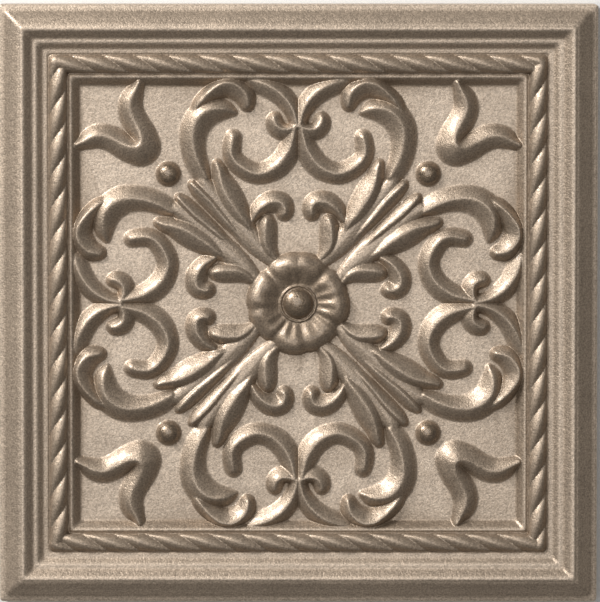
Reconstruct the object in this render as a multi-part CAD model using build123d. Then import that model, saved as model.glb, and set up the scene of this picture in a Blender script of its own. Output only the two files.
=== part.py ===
from build123d import *
from math import radians, sin
import os

# Square decor tile, pressed and fired in one piece, lying on its back.
# The relief looks up (+Z). The origin is the middle of the back face, on the floor.
# All sizes are in millimetres.

# Overall sizes
tile_width = 199.0
tile_height = 15.4

# Moulded frame, from the tile's outer edge in to the field: each step's width
flange_width = 1.7
slope_width = 2.6
shoulder_width = 3.3
crest_width = 0.5
crest_fall_width = 3.4
bead_width = 1.0
bead_fall_width = 2.2
bed_width = 1.6
rope_width = 7.0
lip_width = 0.6
lip_fall_width = 3.3

# How far the frame comes down outside its crest, which is at the full height
shoulder_drop = 1.8
slope_drop = 2.0
flange_drop = 0.4

# How far it comes down at each step inside the crest
crest_fall_drop = 1.9
bead_fall_drop = 1.3
bed_drop = 0.6
lip_fall_drop = 2.6

# Twisted rope in the frame: the twists are spaced to fill each side, all shifted along it
twist_spacing = 10.6
twist_shift = 1.8
twist_angle = 37.0
rope_rise = 2.0
strand_back_width = 1.4
strand_overlap = 0.5

# Back of the tile: a grid of shallow drafted pockets between ribs, inside a plain rim
pocket_count = 6
pocket_depth = 0.7
pocket_draft = 12.0
back_rib_width = 3.5
back_rim_width = 9.0

# Central flower
petal_count = 8
petal_phase = 27.5
petal_place = 9.9
petal_radius = 4.2
petal_flare = 1.6
flower_skirt_radius = 17.2
flower_skirt_rise = 1.7
petal_rise = 3.4
bowl_rim_radius = 12.8
bowl_radius = 6.9
bowl_rise = 1.4
boss_radius = 5.6
boss_rise = 3.6

# Pearls on the diagonals
pearl_place = 43.2
pearl_radius = 4.0
pearl_skirt_radius = 5.2
pearl_rise = 3.3

# Bulbs of the corner tulips
bulb_place = 49.0
bulb_radius = 3.8
bulb_skirt_radius = 4.8
bulb_rise = 2.7

# The ornament is drawn for a field of this half width and spread over the real one
drawn_half_field = 72.3

# How deep each raised form is rooted in the body under it
root_depth = 0.4

# Levels and places that follow from the sizes above
crest_level = tile_height
shoulder_level = crest_level - shoulder_drop
flange_level = shoulder_level - slope_drop
arris_level = flange_level - flange_drop
bead_level = crest_level - crest_fall_drop
bed_level = bead_level - bead_fall_drop
lip_level = bed_level - bed_drop
field_level = lip_level - lip_fall_drop
half_width = tile_width / 2
flange_inner = half_width - flange_width
slope_inner = flange_inner - slope_width
crest_outer = slope_inner - shoulder_width
crest_inner = crest_outer - crest_width
bead_outer = crest_inner - crest_fall_width
bead_inner = bead_outer - bead_width
bed_outer = bead_inner - bead_fall_width
rope_outer = bed_outer - bed_width
rope_inner = rope_outer - rope_width
lip_inner = rope_inner - lip_width
half_field = lip_inner - lip_fall_width
plan_scale = half_field / drawn_half_field


def around(shapes):
    """The four turns of each shape about the tile's centre."""
    return [Rot(Z=90 * turn) * shape for shape in shapes for turn in range(4)]


def prism(plane, points, half_length):
    """Straight bar whose outline is drawn in the plane, running both ways from it."""
    return extrude(plane * make_face(Polyline(*points, close=True)), half_length, both=True)


def moulded_side():
    """One side of the frame, along +X, its ends cut to the mitre."""
    moulding = prism(
        Plane.XZ,
        [
            (half_width, field_level / 2),
            (half_width, arris_level),
            (flange_inner, flange_level),
            (slope_inner, shoulder_level),
            (crest_outer, crest_level),
            (crest_inner, crest_level),
            (bead_outer, bead_level),
            (bead_inner, bead_level),
            (bed_outer, bed_level),
            (rope_inner, bed_level),
            (rope_inner, lip_level),
            (lip_inner, lip_level),
            (half_field, field_level),
            (half_field, field_level / 2),
        ],
        half_width,
    )
    mitre = [(0, 0), (half_width, half_width), (half_width, -half_width)]
    return moulding & prism(Plane.XY, mitre, tile_height)


def slab():
    """The flat body under the field and the frame."""
    rest = (Align.CENTER, Align.CENTER, Align.MIN)
    return Box(tile_width, tile_width, field_level, align=rest)


def strand(spacing):
    """One twist of the rope: a hipped ridge laid slantwise over the bed, within the rope's width."""
    slant = sin(radians(twist_angle))
    half_foot = (spacing * slant + strand_overlap) / 2
    half_back = strand_back_width / 2
    half_length = rope_width / 2 / slant + root_depth
    foot = bed_level - root_depth
    crown = bed_level + rope_rise
    across = [(-half_foot, foot), (-half_back, crown), (half_back, crown), (half_foot, foot)]
    along = [(-half_length, foot), (-half_back, crown), (half_back, crown), (half_length, foot)]
    ridge_bar = prism(Plane.YZ, across, half_length) & prism(Plane.XZ, along, half_foot)
    band = Box(rope_width, 4 * half_length, 2 * crown)
    return Rot(Z=90 - twist_angle) * ridge_bar & band


def rope():
    """The twists along every side, turned the same way round the tile."""
    centre = (rope_inner + rope_outer) / 2
    twists = round(2 * centre / twist_spacing)
    spacing = 2 * centre / twists
    one = strand(spacing)
    first = -centre + spacing / 2 + twist_shift
    return around([Pos(centre, first + index * spacing, 0) * one for index in range(twists)])


def button(radius, skirt_radius, height):
    """Round button on a flared skirt."""
    outline = Polyline(
        (0, -root_depth),
        (skirt_radius, -root_depth),
        (skirt_radius, 0),
        (radius, height * 0.45),
        (radius * 0.45, height),
        (0, height),
        close=True,
    )
    return revolve(Plane.XZ * make_face(outline), Axis.Z)


def crossways(before, here, after):
    """Unit vector to the left of the smooth line through three points, at the middle one."""
    back = here - before
    ahead = after - here
    heading = back * (ahead.length / back.length) + ahead * (back.length / ahead.length)
    return Vector(-heading.Y, heading.X).normalized()


def roof(across, left, right, height):
    """Roof-like section over the origin, its slopes carried on down to the root."""
    spread = (height + root_depth) / height
    left_foot = across * (left * spread)
    right_foot = across * (-right * spread)
    outline = Polyline(
        (left_foot.X, left_foot.Y, -root_depth),
        (0, 0, height),
        (right_foot.X, right_foot.Y, -root_depth),
        close=True,
    )
    return make_face(outline)


def ridge(line):
    """Curved stroke with a roof-like section, lofted from tip to tip along its crest line.

    The line begins and ends with a tip (x, y). Between them each station is
    (x, y, width to the left of the crest, width to its right, height above the field).
    """
    points = [Vector(x * plan_scale, y * plan_scale, field_level) for x, y, *_ in line]
    roofs = [
        Pos(here) * roof(crossways(before, here, after), *station[2:])
        for before, here, after, station in zip(points, points[1:], points[2:], line[1:])
    ]
    first_tip = loft([Vertex(*points[0]), roofs[0]], ruled=True)
    last_tip = loft([roofs[-1], Vertex(*points[-1])], ruled=True)
    return loft(roofs, ruled=True).fuse(first_tip, last_tip)


# Crest lines of one eighth of the ornament, between the X axis and the diagonal
leaf_upper_lobe = [
    (13.4, 9.4),
    (20.0, 16.6, 2.6, 4.2, 2.6),
    (26.3, 22.4, 2.9, 4.6, 3.1),
    (31.0, 26.7, 3.0, 4.4, 3.3),
    (35.8, 31.8, 2.8, 3.2, 3.1),
    (38.9, 36.5),
]
leaf_lower_lobe = [
    (17.6, 11.4),
    (25.0, 17.9, 4.2, 3.6, 2.7),
    (30.0, 21.4, 4.4, 4.6, 3.1),
    (35.4, 24.4, 4.2, 5.0, 3.2),
    (41.8, 26.3, 3.0, 4.0, 2.7),
    (47.6, 27.5),
]
leaf_bar = [
    (12.8, 8.2),
    (17.6, 10.7, 2.0, 3.0, 2.2),
    (24.0, 10.9, 2.4, 3.6, 2.4),
    (28.4, 9.5),
]
small_curl = [
    (25.2, 15.4),
    (29.8, 14.1, 2.4, 1.8, 2.2),
    (33.4, 11.0, 3.1, 2.2, 2.8),
    (33.6, 6.4, 3.2, 2.2, 2.8),
    (30.6, 4.3, 2.6, 2.0, 2.6),
    (27.2, 5.0),
]
inner_scroll = [
    (58.6, 19.8),
    (54.8, 21.5, 3.2, 2.6, 2.6),
    (50.0, 22.3, 3.4, 2.6, 2.8),
    (45.6, 20.0, 3.8, 2.6, 2.9),
    (43.1, 14.9, 4.0, 3.2, 2.9),
    (43.8, 9.0, 4.2, 3.6, 2.8),
    (47.6, 4.5, 4.2, 3.2, 2.7),
    (54.6, 1.8, 2.4, 3.0, 2.3),
    (63.0, 1.2),
]
outer_stroke = [
    (73.2, 17.6),
    (71.3, 12.0, 2.2, 3.2, 2.4),
    (69.4, 8.4, 2.6, 3.4, 2.6),
    (66.2, 4.9, 2.6, 3.2, 2.6),
    (62.0, 2.2, 2.0, 3.0, 2.4),
    (56.4, 0.8),
]
small_volute = [
    (55.8, 0.9),
    (57.4, 4.6, 3.6, 1.8, 2.4),
    (58.8, 7.4, 3.8, 2.0, 2.7),
    (61.3, 8.6, 2.4, 3.0, 2.6),
    (64.2, 7.0),
]
big_scroll = [
    (40.0, 29.4),
    (45.6, 33.0, 3.4, 3.4, 2.7),
    (50.5, 35.0, 4.2, 4.4, 3.0),
    (54.8, 35.5, 4.4, 4.8, 3.1),
    (59.2, 34.6, 4.4, 4.8, 3.2),
    (63.2, 31.8, 4.2, 4.4, 3.2),
    (65.0, 26.8, 2.8, 3.6, 2.8),
    (63.6, 20.4),
]
curl_leaf = [
    (60.6, 35.6),
    (67.0, 33.0, 3.4, 3.0, 3.2),
    (70.6, 29.6, 3.4, 3.0, 3.6),
    (72.4, 25.4, 2.8, 3.0, 3.8),
    (71.8, 21.2, 3.0, 2.6, 3.6),
    (68.4, 18.6, 3.2, 2.4, 3.0),
    (62.6, 17.8),
]
tulip_arm = [
    (51.0, 54.6),
    (53.8, 52.2, 2.8, 8.4, 2.9),
    (57.8, 52.6, 4.0, 6.0, 3.0),
    (63.3, 55.0, 3.6, 5.0, 3.0),
    (69.0, 55.5, 2.2, 3.4, 2.8),
    (74.0, 52.8),
]


def button_on_diagonal(place, radius, skirt_radius, height):
    """Domed button set on the field at a drawn place on the diagonal."""
    reach = place * plan_scale
    return Pos(reach, reach, field_level) * button(radius, skirt_radius, height)


def ornament():
    """Scrolls, leaves, tulips and pearls."""
    lines = [
        leaf_upper_lobe,
        leaf_lower_lobe,
        leaf_bar,
        small_curl,
        inner_scroll,
        outer_stroke,
        small_volute,
        big_scroll,
        curl_leaf,
        tulip_arm,
    ]
    eighth = [ridge(line) for line in lines]
    diagonal = Plane(origin=(0, 0, 0), z_dir=(1, -1, 0))
    quarter = eighth + [mirror(shape, about=diagonal) for shape in eighth]
    pearl = button_on_diagonal(pearl_place, pearl_radius, pearl_skirt_radius, pearl_rise)
    bulb = button_on_diagonal(bulb_place, bulb_radius, bulb_skirt_radius, bulb_rise)
    return around([*quarter, pearl, bulb])


def flower():
    """Central flower: rounded petals round a hollow bowl that holds a domed boss."""
    stand = (Align.CENTER, Align.CENTER, Align.MIN)
    skirt = Cone(
        flower_skirt_radius + root_depth,
        petal_place,
        flower_skirt_rise + root_depth,
        align=stand,
    )
    petal = Cone(petal_radius + petal_flare, petal_radius, petal_rise + root_depth, align=stand)
    petals = [
        Rot(Z=petal_phase + index * 360 / petal_count) * Pos(petal_place, 0, 0) * petal
        for index in range(petal_count)
    ]
    bowl = Cone(bowl_radius, bowl_rim_radius, petal_rise - bowl_rise, align=stand)
    boss = button(boss_radius, boss_radius + 0.5, boss_rise - bowl_rise)
    cup = skirt.fuse(*petals).cut(Pos(0, 0, bowl_rise + root_depth) * bowl)
    head = cup.fuse(Pos(0, 0, bowl_rise + root_depth) * boss)
    return Pos(0, 0, field_level - root_depth) * head


def back_pockets():
    """Shallow pockets that leave a grid of ribs on the back."""
    grid_width = tile_width - 2 * back_rim_width
    spacing = (grid_width + back_rib_width) / pocket_count
    size = spacing - back_rib_width
    pocket = extrude(Rectangle(size, size), pocket_depth, taper=pocket_draft)
    return [place * pocket for place in GridLocations(spacing, spacing, pocket_count, pocket_count)]


sides = around([moulded_side()])
decor_tile = slab().fuse(*sides, *rope(), flower(), *ornament())
decor_tile = decor_tile.cut(*back_pockets())
decor_tile.label = "decor_tile"

os.makedirs("parts", exist_ok=True)
export_step(decor_tile, "parts/decor_tile.step")
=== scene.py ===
import bpy
import numpy as np
from math import cos, radians, sin
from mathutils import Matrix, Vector
from mathutils.geometry import delaunay_2d_cdt


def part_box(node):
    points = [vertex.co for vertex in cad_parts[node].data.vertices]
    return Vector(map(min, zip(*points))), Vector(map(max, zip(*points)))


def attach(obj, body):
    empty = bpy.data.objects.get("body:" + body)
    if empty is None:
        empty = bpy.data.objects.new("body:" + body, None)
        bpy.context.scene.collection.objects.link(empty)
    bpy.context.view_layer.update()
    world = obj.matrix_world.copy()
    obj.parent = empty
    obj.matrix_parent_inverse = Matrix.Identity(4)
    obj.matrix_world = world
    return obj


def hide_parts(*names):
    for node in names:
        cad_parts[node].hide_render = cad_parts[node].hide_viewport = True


# Square decor tile, its relief up. Shapes are worked out in millimetres and made in metres.

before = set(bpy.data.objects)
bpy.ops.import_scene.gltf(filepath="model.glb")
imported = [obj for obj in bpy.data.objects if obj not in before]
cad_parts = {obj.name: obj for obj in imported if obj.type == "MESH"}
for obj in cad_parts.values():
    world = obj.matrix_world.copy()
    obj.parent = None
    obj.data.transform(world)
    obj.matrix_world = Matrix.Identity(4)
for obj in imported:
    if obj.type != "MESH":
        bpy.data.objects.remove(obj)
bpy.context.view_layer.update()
box_low, box_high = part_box("decor_tile")

MM = 0.001
HALF = (box_high.x - box_low.x) / 2 / MM
TOP = box_high.z / MM

# Mesh fineness: the grid step, and the triangles kept after thinning
GRID_STEP = 0.4
TRIANGLES = 190000

# Rounding: upright corners, outer edge, and where the frame's sides meet
CORNER = 1.2
EDGE_RADIUS = 0.8
MITRE_BLEND = 1.2

# Levels of the frame and the field
FIELD = TOP - 6.4
LIP = TOP - 3.8
BED = TOP - 3.2
BEAD = TOP - 1.9
SHOULDER = TOP - 1.8
FLANGE = TOP - 3.8
ARRIS = TOP - 4.2

# The frame's section: distance from the centre line of the tile, level
SECTION = [
    (70.0, FIELD),
    (71.9, FIELD),
    (72.7, FIELD + 0.4),
    (74.8, LIP - 0.3),
    (75.3, LIP),
    (75.9, LIP),
    (76.5, LIP - 0.4),
    (77.2, LIP - 0.5),
    (82.3, LIP - 0.1),
    (83.3, BED - 0.1),
    (84.6, BED),
    (85.0, BED + 0.1),
    (86.6, BEAD - 0.15),
    (87.2, BEAD),
    (88.0, BEAD - 0.02),
    (88.6, BEAD + 0.2),
    (91.0, TOP - 0.1),
    (91.7, TOP),
    (92.1, TOP - 0.1),
    (92.5, TOP - 0.45),
    (93.0, TOP - 0.5),
    (95.2, SHOULDER),
    (97.4, FLANGE + 0.1),
    (98.2, FLANGE - 0.1),
    (99.5, ARRIS),
]
SECTION_SOFTNESS = 0.22

# Twisted rope
ROPE_MIDDLE = 79.75
ROPE_RADIUS = 3.1
ROPE_CROWN = 2.1
ROPE_TWISTS = 15
ROPE_PHASE = 1.8
ROPE_SWEEP = 1.39
ROPE_GROOVE = 1.15
ROPE_LUMP = 1.9
ROPE_SINK = 0.5
ROPE_END = 3.2
ROPE_END_DROP = 2.6
ROPE_BLEND = 0.25
FAR_BELOW = -99.0

# Strokes of one eighth of the ornament, between the X axis and the diagonal.
# Stations: x, y, width to the left, width to the right, height above the field.
# After them: how hollow the left and right flanks are (1 is flat, more is hollow, less is full).
STROKES = {
    "leaf_plate": ([
        (13.8, 8.2, 1.8, 1.8, 1.4),
        (17.5, 12.0, 2.9, 2.6, 1.9),
        (22.0, 15.8, 3.9, 3.4, 2.0),
        (27.0, 20.2, 4.2, 3.6, 2.0),
        (32.0, 24.8, 4.5, 3.6, 2.0),
        (36.5, 28.6, 4.6, 3.2, 2.0),
        (40.2, 31.0, 2.8, 2.2, 2.0),
        (42.6, 31.8, 1.4, 1.6, 1.6),
    ], 0.4, 0.4),
    "leaf_upper_lobe": ([
        (20.6, 17.6, 1.2, 1.4, 1.2),
        (26.0, 22.6, 2.0, 2.4, 2.3),
        (30.0, 26.0, 2.5, 2.6, 2.5),
        (33.5, 28.8, 3.0, 2.4, 2.7),
        (36.3, 31.4, 3.1, 2.2, 2.8),
        (38.3, 33.5, 2.7, 2.0, 2.7),
        (39.7, 35.1, 1.8, 1.6, 2.2),
    ], 0.8, 1.0),
    "leaf_lower_lobe": ([
        (22.6, 14.8, 1.2, 1.2, 1.2),
        (26.8, 17.2, 2.8, 2.8, 2.7),
        (29.7, 19.5, 4.0, 3.8, 3.2),
        (32.4, 21.4, 4.4, 4.8, 3.4),
        (35.4, 23.4, 4.2, 5.4, 3.5),
        (38.4, 24.9, 3.6, 4.9, 3.4),
        (41.6, 25.8, 3.1, 3.5, 3.1),
        (44.2, 26.3, 2.6, 2.9, 2.8),
        (46.4, 27.0, 1.8, 1.9, 2.3),
    ], 1.0, 0.9),
    "leaf_bar": ([
        (15.0, 7.6, 1.4, 1.6, 1.6),
        (17.4, 9.8, 2.2, 3.2, 2.4),
        (20.2, 11.0, 2.6, 4.2, 2.8),
        (23.2, 11.1, 2.7, 4.4, 2.9),
        (25.8, 10.9, 2.6, 4.0, 2.9),
        (27.6, 10.5, 2.0, 2.8, 2.6),
    ], 0.9, 0.85),
    "small_curl": ([
        (27.8, 15.1, 1.4, 1.2, 1.9),
        (30.2, 13.8, 2.6, 2.2, 2.5),
        (32.2, 12.0, 3.3, 3.2, 2.9),
        (33.8, 9.4, 3.7, 4.0, 3.0),
        (34.1, 7.0, 3.7, 4.2, 3.0),
        (33.2, 5.2, 3.6, 3.6, 3.0),
        (31.4, 4.4, 3.1, 3.2, 3.0),
        (30.2, 4.5, 2.9, 3.0, 2.9),
    ], 0.95, 1.1),
    "inner_scroll": ([
        (55.2, 21.6, 3.2, 3.1, 2.5),
        (53.6, 22.0, 3.5, 3.2, 2.7),
        (51.6, 22.3, 3.6, 3.2, 2.8),
        (49.4, 22.1, 3.6, 3.2, 2.9),
        (47.2, 20.8, 3.6, 3.4, 2.9),
        (45.2, 18.4, 3.8, 3.6, 3.0),
        (43.8, 15.6, 3.9, 3.8, 3.0),
        (43.3, 13.0, 4.0, 3.8, 3.0),
        (43.9, 10.4, 4.0, 4.0, 3.0),
        (45.0, 8.2, 4.1, 4.3, 3.0),
        (46.8, 6.0, 4.1, 4.5, 3.0),
        (49.2, 4.2, 4.0, 4.4, 3.0),
        (52.0, 2.7, 3.8, 3.8, 3.0),
        (55.2, 1.8, 3.4, 3.0, 3.0),
        (59.0, 1.0, 2.6, 2.6, 3.0),
    ], 1.1, 1.05),
    "outer_stroke": ([
        (74.4, 16.0, 1.6, 3.4, 2.0),
        (74.0, 14.0, 2.2, 4.2, 2.4),
        (73.3, 11.6, 2.6, 4.5, 2.8),
        (72.0, 8.8, 3.0, 4.5, 3.0),
        (70.2, 6.2, 3.4, 4.2, 3.0),
        (68.0, 4.0, 3.4, 3.9, 3.0),
        (65.6, 2.4, 3.2, 3.4, 3.0),
        (62.8, 1.2, 2.8, 2.8, 3.0),
        (59.0, 0.4, 2.6, 2.6, 3.0),
    ], 1.05, 1.1),
    "small_volute": ([
        (58.6, 1.6, 4.0, 1.6, 3.0),
        (58.1, 3.6, 4.0, 1.8, 3.0),
        (58.2, 5.6, 4.0, 2.2, 3.0),
        (59.2, 7.0, 3.8, 2.6, 3.0),
        (60.6, 7.8, 3.2, 2.8, 2.8),
        (61.6, 8.0, 2.2, 2.6, 2.6),
    ], 1.0, 0.9),
    "big_scroll": ([
        (42.2, 30.6, 3.6, 1.6, 2.2),
        (44.2, 31.7, 4.4, 2.6, 2.5),
        (46.4, 32.9, 4.6, 3.4, 2.8),
        (49.2, 34.0, 4.7, 3.9, 3.0),
        (52.4, 34.8, 4.7, 4.5, 3.1),
        (55.6, 35.1, 4.7, 5.1, 3.2),
        (58.6, 34.7, 4.7, 5.7, 3.3),
        (61.4, 33.4, 4.6, 6.0, 3.5),
        (63.4, 31.6, 4.2, 6.0, 3.6),
        (64.6, 29.4, 3.6, 5.7, 3.5),
        (65.0, 27.0, 3.3, 5.0, 3.3),
        (64.8, 24.6, 3.0, 3.8, 2.9),
        (64.2, 22.8, 2.2, 2.6, 2.2),
        (63.6, 21.2, 1.2, 1.4, 1.4),
    ], 1.0, 1.15),
    "curl_leaf": ([
        (62.8, 35.0, 1.4, 1.6, 1.4),
        (66.4, 32.9, 2.4, 2.6, 2.9),
        (69.0, 30.8, 2.3, 3.4, 3.4),
        (71.2, 28.5, 2.1, 4.4, 3.8),
        (73.0, 25.8, 1.9, 5.0, 4.0),
        (73.6, 22.8, 1.7, 5.4, 4.0),
        (72.8, 20.4, 1.9, 5.4, 3.9),
        (71.4, 18.7, 2.6, 5.0, 3.7),
        (69.8, 17.5, 3.1, 4.4, 3.5),
        (67.9, 16.9, 2.9, 3.6, 3.3),
        (66.2, 16.7, 2.3, 2.8, 3.0),
    ], 0.9, 1.0),
    "tulip_arm": ([
        (52.3, 53.2, 2.8, 7.2, 4.1),
        (53.0, 52.5, 3.0, 7.2, 4.1),
        (54.6, 52.1, 3.4, 5.9, 3.9),
        (56.8, 52.5, 3.9, 5.2, 3.6),
        (58.8, 53.4, 4.2, 4.8, 3.3),
        (60.9, 54.5, 4.3, 4.7, 3.1),
        (63.0, 55.5, 4.3, 4.7, 3.0),
        (65.1, 56.0, 4.1, 4.6, 3.0),
        (67.2, 55.8, 3.9, 4.3, 3.0),
        (69.3, 55.0, 3.3, 3.7, 2.9),
        (71.3, 54.0, 2.2, 2.9, 2.7),
        (73.6, 53.0, 1.4, 2.2, 2.6),
    ], 1.0, 0.9),
}

# How the strokes meet and how round their crests are
STROKE_BLEND = 0.35
STROKE_MARGIN = 0.3
CREST_ROUNDNESS = 1.35
CREST_EASE = 0.05
CREST_SHIFT = 0.22

# Where the ornament lies and how it meets the field
ORNAMENT_HALF = 78
FIELD_BLEND = 0.3

# Pearls on the diagonals
PEARL_PLACE = 43.2
PEARL_RADIUS = 3.7
PEARL_HEIGHT = 3.3
PEARL_SKIRT = 4.9
PEARL_BLEND = 0.2

# Central flower: its notches as angle and depth share, then its boss, ring, bowl and rim
NOTCHES = [(10, 0.5), (50, 1.0), (90, 0.5), (133, 1.0), (187, 0.8), (236, 1.0), (280, 0.8), (331, 1.0)]
NOTCH_WIDTH = 7.0
NOTCH_INSET = 0.9
NOTCH_DROP = 0.8
BOSS_RADIUS = 5.1
BOSS_HEIGHT = 3.9
BOSS_SINK = 0.4
BOSS_BLEND = 0.15
RING_RADIUS = 5.9
RING_WIDTH = 0.35
RING_HEIGHT = 0.55
RING_REACH = 9
RING_BLEND = 0.2
BOWL_HEIGHT = 1.3
BOWL_RIBS = 16
BOWL_RIB_HEIGHT = 0.17
RIM_RADIUS = 12.9
RIM_WIDTH = 4.2
RIM_HEIGHT = 3.5
RIM_SWELL = 0.4
RIM_LIFT = 0.5
FLOWER_RADIUS = 17.4


def smooth_max(a, b, blend):
    """The higher of two surfaces, with a small fillet where they meet."""
    overlap = np.maximum(blend - np.abs(a - b), 0) / blend
    return np.maximum(a, b) + overlap * overlap * blend / 4


def spline(stations, steps=12):
    """Smooth line through the stations, every value of them carried along."""
    p = np.array(stations, float)
    ends = np.vstack([2 * p[0] - p[1], p, 2 * p[-1] - p[-2]])
    t = np.linspace(0, 1, steps, endpoint=False)[:, None]
    rows = []
    for i in range(1, len(ends) - 2):
        a, b, c, d = ends[i - 1], ends[i], ends[i + 1], ends[i + 2]
        square = 2 * a - 5 * b + 4 * c - d
        cube = 3 * b - a - 3 * c + d
        rows.append(0.5 * (2 * b + (c - a) * t + square * t**2 + cube * t**3))
    return np.vstack([*rows, p[-1:]])


def stroke_height(line, left_power, right_power, x, y):
    """Height of one stroke over the field at the given points."""
    reach = max(line[:, 2].max(), line[:, 3].max()) + STROKE_MARGIN
    near = (
        (x > line[:, 0].min() - reach) & (x < line[:, 0].max() + reach)
        & (y > line[:, 1].min() - reach) & (y < line[:, 1].max() + reach)
    )
    height = np.zeros_like(x)
    px, py = x[near], y[near]
    best = np.zeros_like(px)
    for a, b in zip(line[:-1], line[1:]):
        way = b[:2] - a[:2]
        length = way @ way
        along = np.clip(((px - a[0]) * way[0] + (py - a[1]) * way[1]) / length, 0, 1)
        dx = px - (a[0] + along * way[0])
        dy = py - (a[1] + along * way[1])
        gap = np.hypot(dx, dy)
        side = (way[0] * dy - way[1] * dx) / (np.sqrt(length) * gap + 1e-9)
        left = a[2] + along * (b[2] - a[2])
        right = a[3] + along * (b[3] - a[3])
        crest = a[4] + along * (b[4] - a[4])
        to_left = (side + 1) / 2
        width = right + (left - right) * to_left
        power = right_power + (left_power - right_power) * to_left
        t = np.clip((np.sqrt(gap * gap + CREST_EASE) - CREST_SHIFT) / width, 0, 1)
        best = np.maximum(best, crest * (1 - t**CREST_ROUNDNESS) ** power)
    height[near] = best
    return height


LINES = [(spline(stations), left, right) for stations, left, right in STROKES.values()]


def dome(gap, radius, height, skirt):
    """Round button with a hollow skirt."""
    t = np.clip(gap / radius, 0, 1)
    cap = height * (0.32 + 0.68 * np.sqrt(np.clip(1 - 0.93 * t * t, 0, 1)) - 0.18 * t**4)
    foot = height * 0.3 * np.clip((skirt - gap) / (skirt - radius), 0, 1) ** 2
    return np.where(gap < radius, cap, foot)


def ornament_height(x, y):
    """Strokes and pearls over the field."""
    u = np.maximum(np.abs(x), np.abs(y))
    v = np.minimum(np.abs(x), np.abs(y))
    height = np.zeros_like(u)
    for line, left, right in LINES:
        height = smooth_max(height, stroke_height(line, left, right, u, v), STROKE_BLEND)
        height = smooth_max(height, stroke_height(line, left, right, u, -v), STROKE_BLEND)
        height = smooth_max(height, stroke_height(line, left, right, v, u), STROKE_BLEND)
    height = height - STROKE_BLEND / 4
    pearl = np.hypot(u - PEARL_PLACE, v - PEARL_PLACE)
    return smooth_max(height, dome(pearl, PEARL_RADIUS, PEARL_HEIGHT, PEARL_SKIRT), PEARL_BLEND)


def flower_height(x, y):
    """Central flower over the field."""
    r = np.hypot(x, y)
    angle = np.degrees(np.arctan2(y, x))
    notch = np.zeros_like(r)
    for place, depth in NOTCHES:
        away = np.abs((angle - place + 180) % 360 - 180)
        notch = np.maximum(notch, depth * np.exp(-(away / NOTCH_WIDTH) ** 2))
    ribs = np.cos(np.radians(angle * BOWL_RIBS) + 1.5 * np.sin(np.radians(angle * 3)))
    on_axis = np.cos(np.radians(4 * angle))
    rim = RIM_RADIUS + RIM_SWELL * on_axis - NOTCH_INSET * notch
    rim_height = RIM_HEIGHT + RIM_LIFT * on_axis - NOTCH_DROP * notch
    roll = rim_height * np.clip(1 - ((r - rim) / RIM_WIDTH) ** 2, 0, 1) ** 0.8
    inner = np.clip((r - RING_RADIUS) / (rim - RING_RADIUS), 0, 1)
    bowl = BOWL_HEIGHT + (rim_height - BOWL_HEIGHT) * np.sin(np.pi / 2 * inner) ** 1.7
    bowl = bowl + BOWL_RIB_HEIGHT * ribs * np.sin(np.pi * inner)
    cup = np.where(r < rim, bowl, roll)
    ring = BOWL_HEIGHT + RING_HEIGHT * np.exp(-((r - RING_RADIUS) / RING_WIDTH) ** 2)
    ringed = smooth_max(cup, np.where(r < RING_REACH, ring, 0), RING_BLEND)
    ball = np.sqrt(np.clip(1 - (r / BOSS_RADIUS) ** 2, 0, 1))
    boss = BOWL_HEIGHT - BOSS_SINK + (BOSS_HEIGHT - BOWL_HEIGHT + BOSS_SINK) * ball
    return smooth_max(ringed, np.where(r < BOSS_RADIUS, boss, 0), BOSS_BLEND)


# The section with its corners softened
KERNEL_REACH = 40
SECTION_FINE = np.linspace(SECTION[0][0] - 2, HALF + 2, 1600)
SECTION_LEVELS = np.interp(SECTION_FINE, [p[0] for p in SECTION], [p[1] for p in SECTION])
kernel_places = np.arange(-KERNEL_REACH, KERNEL_REACH + 1) * (SECTION_FINE[1] - SECTION_FINE[0])
kernel = np.exp(-0.5 * (kernel_places / SECTION_SOFTNESS) ** 2)
padded_levels = np.pad(SECTION_LEVELS, KERNEL_REACH, mode="edge")
SECTION_LEVELS = np.convolve(padded_levels, kernel / kernel.sum(), mode="valid")


def section_level(r):
    """Level of the frame's section, without the rope."""
    return np.interp(r, SECTION_FINE, SECTION_LEVELS)


def rope_level(across, along):
    """Level of the twisted rope on one side, across it and along it."""
    t = np.clip(across / ROPE_RADIUS, -1, 1)
    hump = np.sqrt(1 - t * t)
    base = LIP - ROPE_SINK + (ROPE_CROWN + BED - LIP + ROPE_SINK) * hump**0.8
    sweep = ROPE_SWEEP * ROPE_RADIUS * np.arcsin(t)
    spacing = 2 * ROPE_MIDDLE / ROPE_TWISTS
    phase = ((along - sweep - ROPE_PHASE) / spacing + 0.5) % 1
    lump = 1 - np.abs(2 * phase - 1) ** ROPE_LUMP
    return base - ROPE_GROOVE * (0.35 + 0.65 * hump) * (1 - lump)


def frame_level(x, y):
    """Level of the frame with its rope."""
    r = smooth_max(np.abs(x), np.abs(y), MITRE_BLEND)
    level = section_level(r)
    for turn in range(4):
        if turn:
            x, y = y, -x
        reach = 1 - np.clip((np.abs(y) - ROPE_MIDDLE) / ROPE_END, 0, 1) ** 2
        near = (np.abs(x - ROPE_MIDDLE) < ROPE_RADIUS) & (reach > 0)
        end_drop = ROPE_END_DROP * (1 - np.sqrt(reach[near]))
        rope = np.full_like(level, FAR_BELOW)
        rope[near] = rope_level(x[near] - ROPE_MIDDLE, y[near]) - end_drop
        level = smooth_max(level, rope, ROPE_BLEND)
    return level


def relief_height(x, y):
    """Height of the ornament and the flower over the field, nothing on the frame."""
    relief = np.zeros_like(x)
    inside = np.maximum(np.abs(x), np.abs(y)) < ORNAMENT_HALF
    relief[inside] = np.maximum(ornament_height(x[inside], y[inside]), 0)
    middle = np.hypot(x, y) < FLOWER_RADIUS
    relief[middle] = smooth_max(relief[middle], flower_height(x[middle], y[middle]), FIELD_BLEND)
    return relief


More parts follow.
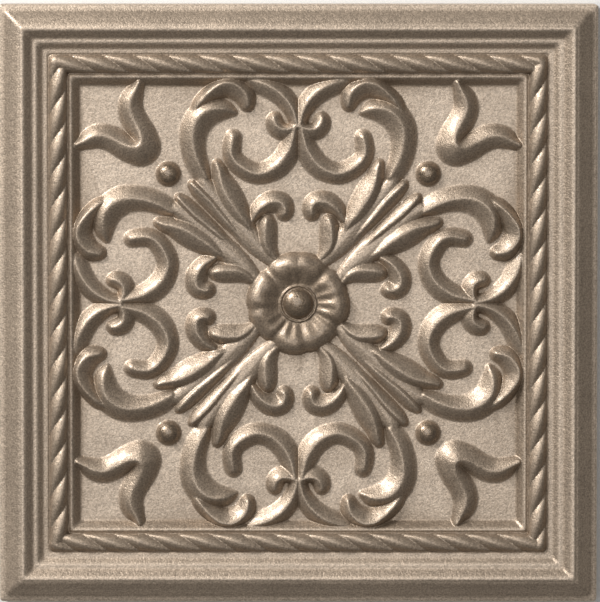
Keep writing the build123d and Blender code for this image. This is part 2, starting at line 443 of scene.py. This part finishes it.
def top_level(x, y):
    """Level of the whole relief at the given points."""
    level = frame_level(x, y)
    inside = np.maximum(np.abs(x), np.abs(y)) < ORNAMENT_HALF
    filled = smooth_max(level, FIELD + relief_height(x, y), FIELD_BLEND) - FIELD_BLEND / 4
    return np.where(inside, filled, level)


def arris_drop(r):
    """How far the top comes down over the rounded outer edge."""
    t = np.clip((r - (HALF - EDGE_RADIUS)) / EDGE_RADIUS, 0, 1)
    return EDGE_RADIUS * (1 - np.sqrt(1 - t * t))


# Grid lines: even over the field and the rope, closer on the frame's edges, sparse on its flats
inner_lines = np.arange(-85.0, 85.0 + GRID_STEP / 2, GRID_STEP)
outer_lines = np.concatenate([
    np.arange(85.4, 93.0, 0.3),
    np.arange(93.4, 98.0, 0.6),
    HALF - EDGE_RADIUS * (1 - np.sin(np.radians([0, 15, 30, 45, 60, 75, 90]))),
])
lines = np.concatenate([-outer_lines[::-1], inner_lines, outer_lines])
count = len(lines)
grid_x, grid_y = np.meshgrid(lines, lines, indexing="ij")
grid_z = top_level(grid_x, grid_y) - arris_drop(np.maximum(np.abs(grid_x), np.abs(grid_y)))

# Round the four upright corners a little
a = np.clip((np.abs(grid_x) - (HALF - CORNER)) / CORNER, 0, 1)
b = np.clip((np.abs(grid_y) - (HALF - CORNER)) / CORNER, 0, 1)
shift_a = a * (np.sqrt(1 - b * b / 2) - 1) * CORNER
shift_b = b * (np.sqrt(1 - a * a / 2) - 1) * CORNER
plan_x = grid_x + np.sign(grid_x) * shift_a
plan_y = grid_y + np.sign(grid_y) * shift_b

vertices = [np.stack([plan_x, plan_y, grid_z], -1).reshape(-1, 3)]
index = np.arange(count * count).reshape(count, count)
quads = np.stack([index[:-1, :-1], index[1:, :-1], index[1:, 1:], index[:-1, 1:]], -1).reshape(-1, 4)
loop = np.concatenate([index[:, 0], index[-1, 1:], index[-2::-1, -1], index[0, -2:0:-1]])
start = count * count

# Walls: straight down, with a small bevel round the back
BASE_BEVEL = 0.5
rings = [loop]
for level, inset in ((BASE_BEVEL, 0.0), (0.0, BASE_BEVEL)):
    ring = vertices[0][loop].copy()
    ring[:, :2] *= (HALF - inset) / HALF
    ring[:, 2] = level
    vertices.append(ring)
    rings.append(start + np.arange(len(loop)))
    start += len(loop)
wall_quads = []
for upper, lower in zip(rings[:-1], rings[1:]):
    wall_quads.append(np.stack([upper, lower, np.roll(lower, -1), np.roll(upper, -1)], -1))
quads = np.vstack([quads, *wall_quads])

# Back: a grid of shallow drafted pockets inside a plain rim
POCKETS = 6
POCKET_DEPTH = 0.7
POCKET_DRAFT = 12.0
BACK_RIB = 3.5
BACK_RIM = 9.0
spacing = (2 * HALF - 2 * BACK_RIM + BACK_RIB) / POCKETS
half_mouth = (spacing - BACK_RIB) / 2
half_floor = half_mouth - POCKET_DEPTH * np.tan(np.radians(POCKET_DRAFT))
corners = np.array([(-1, -1), (1, -1), (1, 1), (-1, 1)], float)
centres = [(np.array([i, j]) - (POCKETS - 1) / 2) * spacing for i in range(POCKETS) for j in range(POCKETS)]
back_ring = vertices[-1][:, :2]
mouths = [centre + corners * half_mouth for centre in centres]
plan = [Vector(p) for p in np.vstack([back_ring, *mouths])]
ring_count = len(back_ring)
edges = [(i, (i + 1) % ring_count) for i in range(ring_count)]
for k in range(len(mouths)):
    first = ring_count + 4 * k
    edges += [(first + i, first + (i + 1) % 4) for i in range(4)]
flat = delaunay_2d_cdt(plan, edges, [], 1, 1e-6)[2]
back_triangles = []
ids = np.concatenate([rings[-1], start + np.arange(4 * len(mouths))])
for triangle in flat:
    triangle_middle = np.mean([plan[i][:] for i in triangle], axis=0)
    if any(np.abs(triangle_middle - centre).max() < half_mouth for centre in centres):
        continue
    back_triangles.append([ids[i] for i in triangle][::-1])
vertices.append(np.hstack([np.vstack(mouths), np.zeros((4 * len(mouths), 1))]))
floors = np.vstack([centre + corners * half_floor for centre in centres])
vertices.append(np.hstack([floors, np.full((len(floors), 1), POCKET_DEPTH)]))
pocket_quads = []
for k in range(len(mouths)):
    mouth = start + 4 * k
    floor_first = start + 4 * len(mouths) + 4 * k
    for i in range(4):
        j = (i + 1) % 4
        pocket_quads.append((mouth + j, mouth + i, floor_first + i, floor_first + j))
    pocket_quads.append((floor_first + 3, floor_first + 2, floor_first + 1, floor_first))
quads = np.vstack([quads, np.array(pocket_quads)])
triangles = np.array(back_triangles)

# One mesh of it all, its sides drawn in by a hair so that they stay inside the CAD box
DRAWN_IN = 1 - 1e-6
points = np.vstack(vertices) * MM
points[:, :2] *= DRAWN_IN
mesh = bpy.data.meshes.new("decor_tile_relief")
mesh.vertices.add(len(points))
mesh.vertices.foreach_set("co", points.ravel())
corner_ids = np.concatenate([quads.ravel(), triangles.ravel()])
mesh.loops.add(len(corner_ids))
mesh.loops.foreach_set("vertex_index", corner_ids.astype(np.int32))
starts = np.concatenate([np.arange(len(quads)) * 4, len(quads) * 4 + np.arange(len(triangles)) * 3])
mesh.polygons.add(len(starts))
mesh.polygons.foreach_set("loop_start", starts.astype(np.int32))
mesh.update(calc_edges=True)
mesh.validate()
tile = bpy.data.objects.new("decor_tile_relief", mesh)
bpy.context.scene.collection.objects.link(tile)

# Thin the mesh where it is flat
kept_share = TRIANGLES / (2 * len(quads) + len(triangles))
if kept_share < 1:
    thin = tile.modifiers.new("thin", "DECIMATE")
    thin.ratio = kept_share
    depsgraph = bpy.context.evaluated_depsgraph_get()
    thinned = bpy.data.meshes.new_from_object(tile.evaluated_get(depsgraph))
    tile.modifiers.clear()
    tile.data = thinned
    mesh = thinned

# Smooth relief, flat sides and back: the relief takes its normals from the surface itself.
# Faces that point up enough count as relief, but a level face under a sloping surface stays flat.
SLOPE_STEP = 0.06
UPWARD = 0.15
LEVEL_FACE = 0.995
SLOPING_SURFACE = 0.97
places = np.empty(len(mesh.vertices) * 3)
mesh.vertices.foreach_get("co", places)
places = places.reshape(-1, 3) / MM
px, py = places[:, 0], places[:, 1]


def rounded_level(x, y):
    """Level of the top with its rounded outer edge."""
    x = np.clip(x, -HALF, HALF)
    y = np.clip(y, -HALF, HALF)
    return top_level(x, y) - arris_drop(np.maximum(np.abs(x), np.abs(y)))


rise_x = rounded_level(px + SLOPE_STEP, py) - rounded_level(px - SLOPE_STEP, py)
rise_y = rounded_level(px, py + SLOPE_STEP) - rounded_level(px, py - SLOPE_STEP)
slope_x = rise_x / (2 * SLOPE_STEP)
slope_y = rise_y / (2 * SLOPE_STEP)
smooth = np.stack([-slope_x, -slope_y, np.ones_like(px)], -1)
smooth /= np.linalg.norm(smooth, axis=1)[:, None]
face_normals = np.empty(len(mesh.polygons) * 3)
mesh.polygons.foreach_get("normal", face_normals)
face_normals = face_normals.reshape(-1, 3)
corner_vertices = np.empty(len(mesh.loops), np.int32)
mesh.loops.foreach_get("vertex_index", corner_vertices)
sizes = np.empty(len(mesh.polygons), np.int32)
mesh.polygons.foreach_get("loop_total", sizes)
corner_face = np.repeat(np.arange(len(mesh.polygons)), sizes)
normals = face_normals[corner_face]
level_face = (normals[:, 2] > LEVEL_FACE) & (smooth[corner_vertices, 2] < SLOPING_SURFACE)
upward = (normals[:, 2] > UPWARD) & ~level_face
normals[upward] = smooth[corner_vertices[upward]]
mesh.polygons.foreach_set("use_smooth", np.ones(len(mesh.polygons), bool))
mesh.normals_split_custom_set(normals)

# A map of the top for the glaze: painted shade in recesses and on slopes, raised forms, painted dark
# reflection on the domes, and open field
MAP_HALF = 100.0
MAP_STEP = 0.5
MAP_SOFTNESS = 0.5
RECESS_SHADE_REACH = 1.6
ROPE_TONE_REACH = 2.6
OPEN_FIELD_HALF = 73
BACK_LEVEL = 1
fine = np.arange(-MAP_HALF, MAP_HALF + 0.01, MAP_STEP)
fine_x, fine_y = np.meshgrid(fine, fine, indexing="ij")
fine_z = top_level(np.clip(fine_x, -HALF, HALF), np.clip(fine_y, -HALF, HALF))


def blurred(field, spread):
    """The field blurred over the given distance."""
    reach = int(3 * spread / MAP_STEP)
    weights = np.exp(-0.5 * (np.arange(-reach, reach + 1) * MAP_STEP / spread) ** 2)
    weights /= weights.sum()
    for axis in (0, 1):
        field = np.apply_along_axis(
            lambda row: np.convolve(np.pad(row, reach, mode="edge"), weights, mode="valid"),
            axis,
            field,
        )
    return field


# Painted shade: how far each point lies below its blurred surroundings, used to darken recesses
recess_shade = blurred(fine_z, RECESS_SHADE_REACH) - fine_z
# Painted shade on slopes: steep faces get a darker base colour
steepness = np.hypot(*np.gradient(blurred(fine_z, MAP_SOFTNESS), MAP_STEP))
slope_shade = np.clip((steepness - 0.05) / 0.45, 0, 1)
raised = np.clip(blurred(relief_height(fine_x, fine_y), MAP_SOFTNESS) / 0.9, 0, 1)
fine_r = np.maximum(np.abs(fine_x), np.abs(fine_y))
roped = np.clip(1.6 - np.abs(fine_r - ROPE_MIDDLE) / ROPE_TONE_REACH, 0, 1)
open_field = np.clip((OPEN_FIELD_HALF - fine_r) / 1.5, 0, 1)
to_pearl = np.hypot(np.abs(fine_x) - PEARL_PLACE, np.abs(fine_y) - PEARL_PLACE)
to_boss = np.hypot(fine_x, fine_y)
flowered = np.clip((RIM_RADIUS + 2.5 - to_boss) / 2, 0, 1)
# Painted dark reflection: the pearls' and boss's base colour made nearly black
dome_dark_reflection = np.clip(np.maximum(PEARL_RADIUS - to_pearl, BOSS_RADIUS - to_boss) / 0.8, 0, 1)

# Tone of the glaze from dark to pale, and its gloss: flats first, the other parts over them
tone = np.full_like(fine_z, 0.77)
gloss = np.zeros_like(fine_z)
for share, part_tone, part_gloss in (
    # Slopes: painted shade
    (slope_shade, 0.38, 0.4),
    (roped, 0.3, 0.3),
    (open_field, 1.0, 0.0),
    (raised, 0.32, 0.4),
    (flowered, 0.15, 0.35),
    # Domes: painted dark reflection, nearly black base colour
    (dome_dark_reflection, 0.06, 1.0),
):
    tone += (part_tone - tone) * share
    gloss += (part_gloss - gloss) * share

# Each vertex takes its values from the map, and the back has plain ones
cell_x = np.clip(((px + MAP_HALF) / MAP_STEP).round().astype(int), 0, len(fine) - 1)
cell_y = np.clip(((py + MAP_HALF) / MAP_STEP).round().astype(int), 0, len(fine) - 1)
behind = places[:, 2] < BACK_LEVEL
for name, values, back_value in (("recess_shade", recess_shade, 0.0), ("tone", tone, 0.6), ("gloss", gloss, 0.0)):
    layer = mesh.attributes.new(name, "FLOAT", "POINT")
    laid = np.where(behind, back_value, values[cell_x, cell_y])
    layer.data.foreach_set("value", laid.astype(np.float32))


def link(tree, source, target):
    """Join one node's output to another's input."""
    tree.links.new(source, target)


def glaze():
    """Bronze lustre glaze: grainy and paler on the flats, glossy and darker on the raised forms; recesses
    get painted shade, and its tone layer carries painted shade on the slopes and a painted dark reflection
    on the domes.
    """
    material = bpy.data.materials.new("glazed_body")
    material.use_nodes = True
    tree = material.node_tree
    tree.nodes.clear()
    output = tree.nodes.new("ShaderNodeOutputMaterial")
    surface = tree.nodes.new("ShaderNodeBsdfPrincipled")
    place = tree.nodes.new("ShaderNodeTexCoord")
    grain = tree.nodes.new("ShaderNodeTexNoise")
    grain.inputs["Scale"].default_value = 1800
    grain.inputs["Detail"].default_value = 3
    grain.inputs["Roughness"].default_value = 0.6
    cloud = tree.nodes.new("ShaderNodeTexNoise")
    cloud.inputs["Scale"].default_value = 60
    cloud.inputs["Detail"].default_value = 4
    wear = tree.nodes.new("ShaderNodeTexNoise")
    wear.inputs["Scale"].default_value = 700
    wear.inputs["Detail"].default_value = 3
    for texture in (grain, cloud, wear):
        link(tree, place.outputs["Object"], texture.inputs["Vector"])

    tone_layer = tree.nodes.new("ShaderNodeAttribute")
    tone_layer.attribute_name = "tone"
    gloss_layer = tree.nodes.new("ShaderNodeAttribute")
    gloss_layer.attribute_name = "gloss"

    base = tree.nodes.new("ShaderNodeMix")
    base.data_type = "RGBA"
    base.inputs["A"].default_value = (0.19, 0.137, 0.09, 1)
    base.inputs["B"].default_value = (0.66, 0.54, 0.425, 1)
    link(tree, tone_layer.outputs["Fac"], base.inputs["Factor"])

    fleck = tree.nodes.new("ShaderNodeMapRange")
    fleck.inputs["From Min"].default_value = 0.35
    fleck.inputs["From Max"].default_value = 0.65
    fleck.inputs["To Min"].default_value = 0.7
    fleck.inputs["To Max"].default_value = 1.25
    link(tree, grain.outputs["Fac"], fleck.inputs["Value"])
    drift = tree.nodes.new("ShaderNodeMapRange")
    drift.inputs["From Min"].default_value = 0.3
    drift.inputs["From Max"].default_value = 0.7
    drift.inputs["To Min"].default_value = 0.92
    drift.inputs["To Max"].default_value = 1.06
    link(tree, cloud.outputs["Fac"], drift.inputs["Value"])
    both = tree.nodes.new("ShaderNodeMath")
    both.operation = "MULTIPLY"
    link(tree, fleck.outputs["Result"], both.inputs[0])
    link(tree, drift.outputs["Result"], both.inputs[1])
    shade = tree.nodes.new("ShaderNodeVectorMath")
    shade.operation = "SCALE"
    link(tree, base.outputs["Result"], shade.inputs["Vector"])
    link(tree, both.outputs["Value"], shade.inputs["Scale"])

    # Painted shade: recesses and the foot of the relief darkened towards deep brown
    recess_shade_layer = tree.nodes.new("ShaderNodeAttribute")
    recess_shade_layer.attribute_name = "recess_shade"
    recess_shade_strength = tree.nodes.new("ShaderNodeMapRange")
    recess_shade_strength.inputs["From Min"].default_value = 0.15
    recess_shade_strength.inputs["From Max"].default_value = 1.1
    recess_shade_strength.inputs["To Max"].default_value = 0.6
    link(tree, recess_shade_layer.outputs["Fac"], recess_shade_strength.inputs["Value"])
    painted_recess_shade = tree.nodes.new("ShaderNodeMix")
    painted_recess_shade.data_type = "RGBA"
    painted_recess_shade.inputs["B"].default_value = (0.16, 0.105, 0.06, 1)
    link(tree, recess_shade_strength.outputs["Result"], painted_recess_shade.inputs["Factor"])
    link(tree, shade.outputs["Vector"], painted_recess_shade.inputs["A"])
    link(tree, painted_recess_shade.outputs["Result"], surface.inputs["Base Color"])

    worn = tree.nodes.new("ShaderNodeMapRange")
    worn.inputs["From Min"].default_value = 0.38
    worn.inputs["From Max"].default_value = 0.62
    worn.inputs["To Min"].default_value = -0.06
    worn.inputs["To Max"].default_value = 0.06
    link(tree, wear.outputs["Fac"], worn.inputs["Value"])
    matt = tree.nodes.new("ShaderNodeMapRange")
    matt.inputs["To Min"].default_value = 0.56
    matt.inputs["To Max"].default_value = 0.3
    link(tree, gloss_layer.outputs["Fac"], matt.inputs["Value"])
    rough = tree.nodes.new("ShaderNodeMath")
    link(tree, matt.outputs["Result"], rough.inputs[0])
    link(tree, worn.outputs["Result"], rough.inputs[1])
    link(tree, rough.outputs["Value"], surface.inputs["Roughness"])
    surface.inputs["Metallic"].default_value = 0.7
    surface.inputs["Coat Roughness"].default_value = 0.12
    coat = tree.nodes.new("ShaderNodeMapRange")
    coat.inputs["To Min"].default_value = 0.08
    coat.inputs["To Max"].default_value = 0.5
    link(tree, gloss_layer.outputs["Fac"], coat.inputs["Value"])
    link(tree, coat.outputs["Result"], surface.inputs["Coat Weight"])

    bump = tree.nodes.new("ShaderNodeBump")
    bump.inputs["Strength"].default_value = 0.7
    bump.inputs["Distance"].default_value = 0.0002
    link(tree, grain.outputs["Fac"], bump.inputs["Height"])
    ripple = tree.nodes.new("ShaderNodeBump")
    ripple.inputs["Strength"].default_value = 0.4
    ripple.inputs["Distance"].default_value = 0.00025
    link(tree, wear.outputs["Fac"], ripple.inputs["Height"])
    link(tree, bump.outputs["Normal"], ripple.inputs["Normal"])
    link(tree, ripple.outputs["Normal"], surface.inputs["Normal"])
    link(tree, surface.outputs["BSDF"], output.inputs["Surface"])
    return material


tile.data.materials.clear()
tile.data.materials.append(glaze())
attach(tile, "root")
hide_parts("decor_tile")

# Floor: a pale sheet under the tile
FLOOR_HALF = 3
floor_corners = [(x * FLOOR_HALF, y * FLOOR_HALF, 0) for x, y in ((-1, -1), (1, -1), (1, 1), (-1, 1))]
floor_mesh = bpy.data.meshes.new("floor")
floor_mesh.from_pydata(floor_corners, [], [(0, 1, 2, 3)])
floor = bpy.data.objects.new("floor", floor_mesh)
bpy.context.scene.collection.objects.link(floor)
paper = bpy.data.materials.new("paper")
paper.use_nodes = True
paper_tree = paper.node_tree
paper_surface = paper_tree.nodes["Principled BSDF"]
paper_surface.inputs["Roughness"].default_value = 0.9
paper_noise = paper_tree.nodes.new("ShaderNodeTexNoise")
paper_noise.inputs["Scale"].default_value = 8
paper_tone = paper_tree.nodes.new("ShaderNodeMix")
paper_tone.data_type = "RGBA"
paper_tone.inputs["A"].default_value = (0.70, 0.69, 0.67, 1)
paper_tone.inputs["B"].default_value = (0.74, 0.73, 0.71, 1)
link(paper_tree, paper_noise.outputs["Fac"], paper_tone.inputs["Factor"])
link(paper_tree, paper_tone.outputs["Result"], paper_surface.inputs["Base Color"])
floor_mesh.materials.append(paper)


def lamp(name, azimuth, elevation, distance, size, power):
    """Soft square lamp that looks at the tile. Azimuth runs counterclockwise from +X."""
    data = bpy.data.lights.new(name, "AREA")
    data.size = size
    data.energy = power
    obj = bpy.data.objects.new(name, data)
    az, el = radians(azimuth), radians(elevation)
    obj.location = Vector((cos(az) * cos(el), sin(az) * cos(el), sin(el))) * distance
    obj.rotation_euler = (-obj.location).to_track_quat("-Z", "Y").to_euler()
    bpy.context.scene.collection.objects.link(obj)


lamp("key", 135, 30, 1.6, 0.55, 32)
lamp("overhead", 120, 80, 2.6, 1.6, 21)
lamp("glint", 135, 54, 1.8, 0.12, 1.6)

# Dim, slightly warm surroundings
world = bpy.data.worlds.new("world")
world.use_nodes = True
world.node_tree.nodes["Background"].inputs["Color"].default_value = (1.0, 0.98, 0.95, 1)
world.node_tree.nodes["Background"].inputs["Strength"].default_value = 0.18
bpy.context.scene.world = world
bpy.context.scene.view_settings.view_transform = "Standard"

# Camera: nearly straight down with a long lens, a little from the top side
CAMERA_TILT = 4.0
CAMERA_DISTANCE = 2.2
CAMERA_WIDTH = 0.2003
SENSOR_WIDTH = 36
camera_data = bpy.data.cameras.new("camera")
camera_data.sensor_width = SENSOR_WIDTH
camera_data.lens = SENSOR_WIDTH * CAMERA_DISTANCE / CAMERA_WIDTH
camera = bpy.data.objects.new("camera", camera_data)
aim = Vector((0.0006, 0.0008, 0.0095))
away = Vector((0, sin(radians(CAMERA_TILT)), cos(radians(CAMERA_TILT))))
camera.location = aim + away * CAMERA_DISTANCE
camera.rotation_euler = (radians(-CAMERA_TILT), 0, 0)
camera_data.clip_end = 10
bpy.context.scene.collection.objects.link(camera)
bpy.context.scene.camera = camera

bpy.context.view_layer.update()
